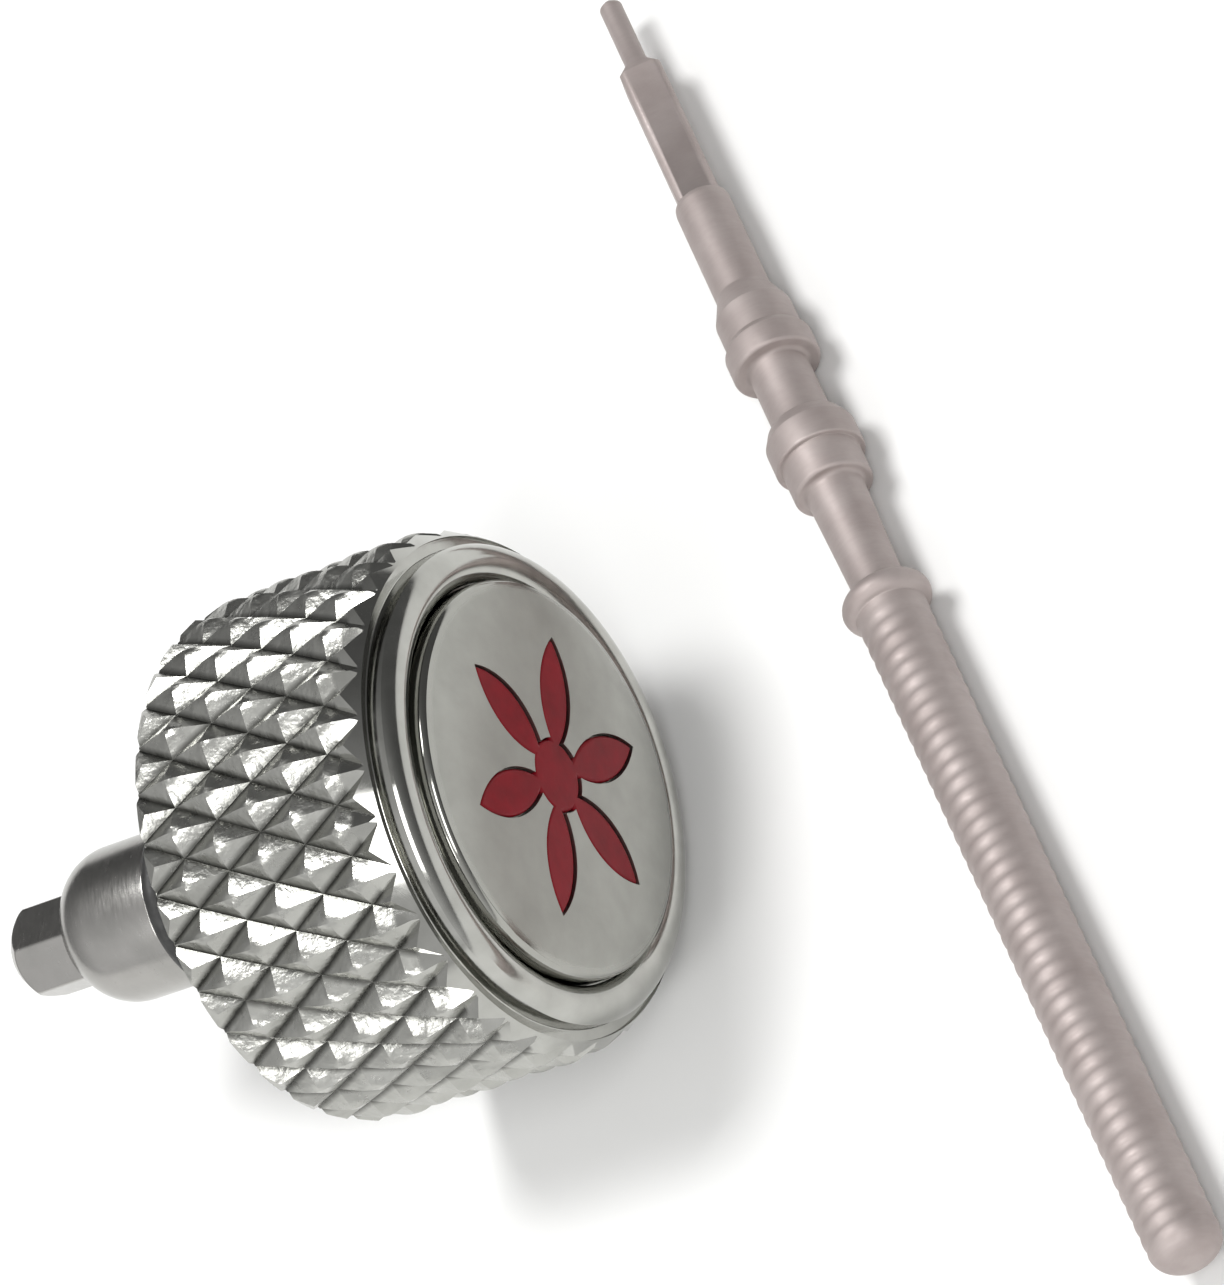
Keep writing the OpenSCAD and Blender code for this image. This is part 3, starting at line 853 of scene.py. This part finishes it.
def metal(name, dark, light, roughness, waviness, scratches, marks=(1, 1, 1), turn=0.0, metallic=1.0):
    """A metal with blotches of tint and gloss, a faint waviness and fine scratches.

    The gloss and the scratches are finer along the piece's axes as marks says.
    """
    material, tree, surface = new_material(name, Metallic=metallic)
    links = tree.links
    links.new(tint(tree, noise(tree, 1.7, detail=4), dark, light), surface.inputs["Base Color"])
    gloss = noise(tree, 5.0, detail=5, finer=marks, turn=turn)
    links.new(spread(tree, gloss, *roughness), surface.inputs["Roughness"])
    waves = bump(tree, noise(tree, 2.2, detail=1), waviness, distance=0.02)
    fine = noise(tree, 26.0, detail=6, finer=marks, turn=turn)
    links.new(bump(tree, fine, scratches, distance=0.002, normal=waves), surface.inputs["Normal"])
    return material


def satin_disc_steel():
    """Satin steel with a polished edge."""
    material = metal(
        "satin steel",
        dark=(0.32, 0.32, 0.297),
        light=(0.37, 0.37, 0.345),
        roughness=(0.34, 0.42),
        waviness=0.05,
        scratches=0.10,
    )
    tree = material.node_tree
    socket = tree.nodes["Principled BSDF"].inputs["Roughness"]
    satin = socket.links[0].from_socket
    radius = from_axis(tree)[1]
    kept = spread(tree, radius, 1.0, POLISHED_ROUGHNESS, *POLISHED_EDGE_R)
    tree.links.new(math_of(tree, "MULTIPLY", satin, kept), socket)
    return material


def turned_steel():
    """Satin steel with marks round the crown's axis."""
    return metal(
        "turned steel",
        dark=(0.335, 0.33, 0.315),
        light=(0.40, 0.39, 0.375),
        roughness=(0.18, 0.28),
        waviness=0.08,
        scratches=0.04,
        marks=TURNED_MARKS,
    )


def stem_steel():
    """Dull and slightly warm steel with marks round the stem's axis."""
    return metal(
        "stem steel",
        dark=(0.37, 0.316, 0.302),
        light=(0.44, 0.385, 0.370),
        roughness=(0.49, 0.63),
        waviness=0.15,
        scratches=0.15,
        marks=TURNED_MARKS,
        turn=-STEM_TURN,
        metallic=0.5,
    )


def knurled_steel():
    """Polished steel that is rough on the knurl, with painted shade along the bottoms of the knurl's grooves.
    """
    material, tree, surface = new_material("knurled steel", Metallic=1.0)
    links = tree.links
    x, radius = from_axis(tree)
    shoulder_end = SHOULDER_X - SHOULDER_L
    outside = spread(tree, radius, 0, 1, SHOULDER_R - 0.02, SHOULDER_R + 0.01)
    behind = spread(tree, x, 1, 0, shoulder_end, shoulder_end + 0.06)
    on_knurl = math_of(tree, "MULTIPLY", outside, behind)
    bottom_r = KNURL_R - KNURL_DEPTH
    # Painted shade: the colour darkens towards the bottoms of the knurl's grooves
    near_bottom = spread(tree, radius, 1, 0, bottom_r + PAINTED_SHADE_FADE[0], bottom_r + PAINTED_SHADE_FADE[1])
    painted_shade = math_of(tree, "MULTIPLY", on_knurl, near_bottom)
    clean = tint(tree, noise(tree, 1.7, detail=4), dark=(0.36, 0.36, 0.337), light=(0.46, 0.46, 0.435))
    links.new(mixed(tree, painted_shade, clean, PAINTED_SHADE), surface.inputs["Base Color"])
    gloss = spread(tree, noise(tree, 5.0, detail=5), 0.08, 0.16)
    links.new(math_of(tree, "MULTIPLY_ADD", on_knurl, KNURL_ROUGHER, gloss), surface.inputs["Roughness"])
    strength = math_of(tree, "MULTIPLY", on_knurl, KNURL_HAMMERED)
    hammered = bump(tree, noise(tree, 4.5, detail=3), strength, distance=0.03)
    fine = noise(tree, 26.0, detail=6)
    links.new(bump(tree, fine, strength=0.06, distance=0.002, normal=hammered), surface.inputs["Normal"])
    return material


def enamel_material():
    """Deep red enamel with a soft gloss and a slightly uneven surface."""
    material, tree, surface = new_material("red enamel", Roughness=0.3, Specular_IOR_Level=0.13)
    colour = tint(tree, noise(tree, 3.0, detail=4), dark=(0.165, 0.003, 0.008), light=(0.235, 0.004, 0.012))
    tree.links.new(colour, surface.inputs["Base Color"])
    uneven = bump(tree, noise(tree, 6.0, detail=4), strength=0.25, distance=0.01)
    tree.links.new(uneven, surface.inputs["Normal"])
    return material


def rubber_material():
    """Black rubber with the fine grain of its mould."""
    material, tree, surface = new_material("moulded rubber")
    colour = tint(tree, noise(tree, 8.0, detail=4), dark=(0.012, 0.012, 0.012), light=(0.03, 0.03, 0.029))
    tree.links.new(colour, surface.inputs["Base Color"])
    tree.links.new(spread(tree, noise(tree, 20.0, detail=5), 0.4, 0.62), surface.inputs["Roughness"])
    grain = bump(tree, noise(tree, 40.0, detail=5), strength=0.3, distance=0.004)
    tree.links.new(grain, surface.inputs["Normal"])
    return material


def dress(piece, material, body, node):
    """Gives a piece its material and the body that it moves with, and hides the solid that it stands for."""
    piece.data.materials.clear()
    piece.data.materials.append(material)
    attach(piece, body)
    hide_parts(node)


# Studio


def pale_floor():
    """A wide plain floor at the height of the lowest point, which the camera sees fade into the backdrop."""
    mesh = bpy.data.meshes.new("floor")
    ways = ((-1, -1), (1, -1), (1, 1), (-1, 1))
    corners = [(x * FLOOR_HALF_W, y * FLOOR_HALF_W, cad_box[0].z) for x, y in ways]
    mesh.from_pydata(corners, [], [(0, 1, 2, 3)])
    floor = bpy.data.objects.new("floor", mesh)
    bpy.context.scene.collection.objects.link(floor)
    material, tree, surface = new_material("pale floor", Roughness=0.75, Base_Color=(0.86, 0.86, 0.85, 1))
    place = add(tree, "ShaderNodeTexCoord").outputs["Object"]
    distance = add(tree, "ShaderNodeVectorMath", {0: place}, operation="LENGTH").outputs["Value"]
    seen = add(tree, "ShaderNodeLightPath").outputs["Is Camera Ray"]
    far = math_of(tree, "MULTIPLY", seen, spread(tree, distance, 0, 1, *FLOOR_FADE))
    backdrop = add(tree, "ShaderNodeEmission", {"Color": BACKDROP, "Strength": 1.0})
    mix = add(tree, "ShaderNodeMixShader", {"Fac": far, 1: surface.outputs[0], 2: backdrop.outputs[0]})
    tree.links.new(mix.outputs[0], tree.nodes["Material Output"].inputs["Surface"])
    mesh.materials.append(material)


def soft_lamp(name, direction, distance, size, power, along=(0, 0, 1)):
    """A soft box that faces the frame's origin from a direction. Its second size runs as along does."""
    light = bpy.data.lights.new(name, "AREA")
    light.shape = "RECTANGLE"
    light.size, light.size_y = size
    light.energy = power
    back = Vector(direction).normalized()
    side = Vector(along).cross(back).normalized()
    lamp = bpy.data.objects.new(name, light)
    lamp.matrix_world = Matrix((side, back.cross(side), back)).transposed().to_4x4()
    lamp.location = back * distance
    bpy.context.scene.collection.objects.link(lamp)


def studio_world():
    """A grey studio round the object, brighter towards one side, which the camera sees as a pale backdrop."""
    world = bpy.data.worlds.new("studio")
    world.use_nodes = True
    tree = world.node_tree
    tree.nodes.clear()
    way = add(tree, "ShaderNodeTexCoord").outputs["Generated"]
    inputs = {0: way, 1: BRIGHT_SIDE}
    facing = add(tree, "ShaderNodeVectorMath", inputs, operation="DOT_PRODUCT").outputs["Value"]
    growth = math_of(tree, "POWER", spread(tree, facing, 0, 1, from_low=-0.5, from_high=1.0), 2.0)
    shade = spread(tree, growth, *ROOM_LIGHT, from_low=0, from_high=1)
    room = add(tree, "ShaderNodeBackground", {"Color": (1, 1, 1, 1), "Strength": shade})
    backdrop = add(tree, "ShaderNodeBackground", {"Color": BACKDROP, "Strength": 1.0})
    seen = add(tree, "ShaderNodeLightPath").outputs["Is Camera Ray"]
    mix = add(tree, "ShaderNodeMixShader", {"Fac": seen, 1: room.outputs[0], 2: backdrop.outputs[0]})
    add(tree, "ShaderNodeOutputWorld", {"Surface": mix.outputs[0]})
    bpy.context.scene.world = world


def camera():
    """The photograph's camera: a long lens that looks down past the crown's face, rolled about its axis."""
    place = Vector(CAMERA_PLACE) * MM
    target = Vector(CAMERA_TARGET) * MM
    data = bpy.data.cameras.new("camera")
    data.sensor_fit = "VERTICAL"
    data.sensor_width = data.sensor_height = SENSOR_H
    data.lens = CAMERA_FOCAL / PHOTO_H * SENSOR_H
    data.clip_start = 0.005
    data.clip_end = 10.0
    made = bpy.data.objects.new("camera", data)
    made.rotation_mode = "QUATERNION"
    made.rotation_quaternion = (place - target).to_track_quat("Z", "Y") @ Quaternion((0, 0, 1), CAMERA_ROLL)
    made.location = place
    bpy.context.scene.collection.objects.link(made)
    bpy.context.scene.camera = made


camera()
studio_world()
pale_floor()
soft_lamp(
    "strip",
    direction=(0.52, -0.426, 0.737),
    distance=0.20,
    size=(0.05, 0.12),
    power=0.13,
    along=(0, 0.866, 0.5),
)
soft_lamp("key", direction=(-0.12, -0.72, 0.68), distance=0.16, size=(0.04, 0.04), power=0.05)
soft_lamp("top", direction=(-0.15, 0.20, 1.0), distance=0.20, size=(0.07, 0.07), power=0.27)

plain = turned_steel()
rubber = rubber_material()

dress(crown_head(), knurled_steel(), "crown", "crown_head")
dress(face_disc(), satin_disc_steel(), "crown", "face_disc")
dress(enamel(), enamel_material(), "crown", "enamel_inlay")
dress(gasket(), rubber, "crown", "crown_gasket")
dress(washer(), plain, "crown", "gasket_washer")
dress(sleeve(), plain, "crown", "sleeve")
dress(o_ring(), rubber, "crown", "sleeve_o_ring")
dress(sliding_post(), plain, "post", "sliding_post")
dress(winding_stem(), stem_steel(), "stem", "winding_stem")

coil = spring()
dress(coil, plain, "crown", "crown_spring")
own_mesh(coil)

# The colours are shown as they are, as on the photograph's white ground
bpy.context.scene.view_settings.view_transform = "Standard"
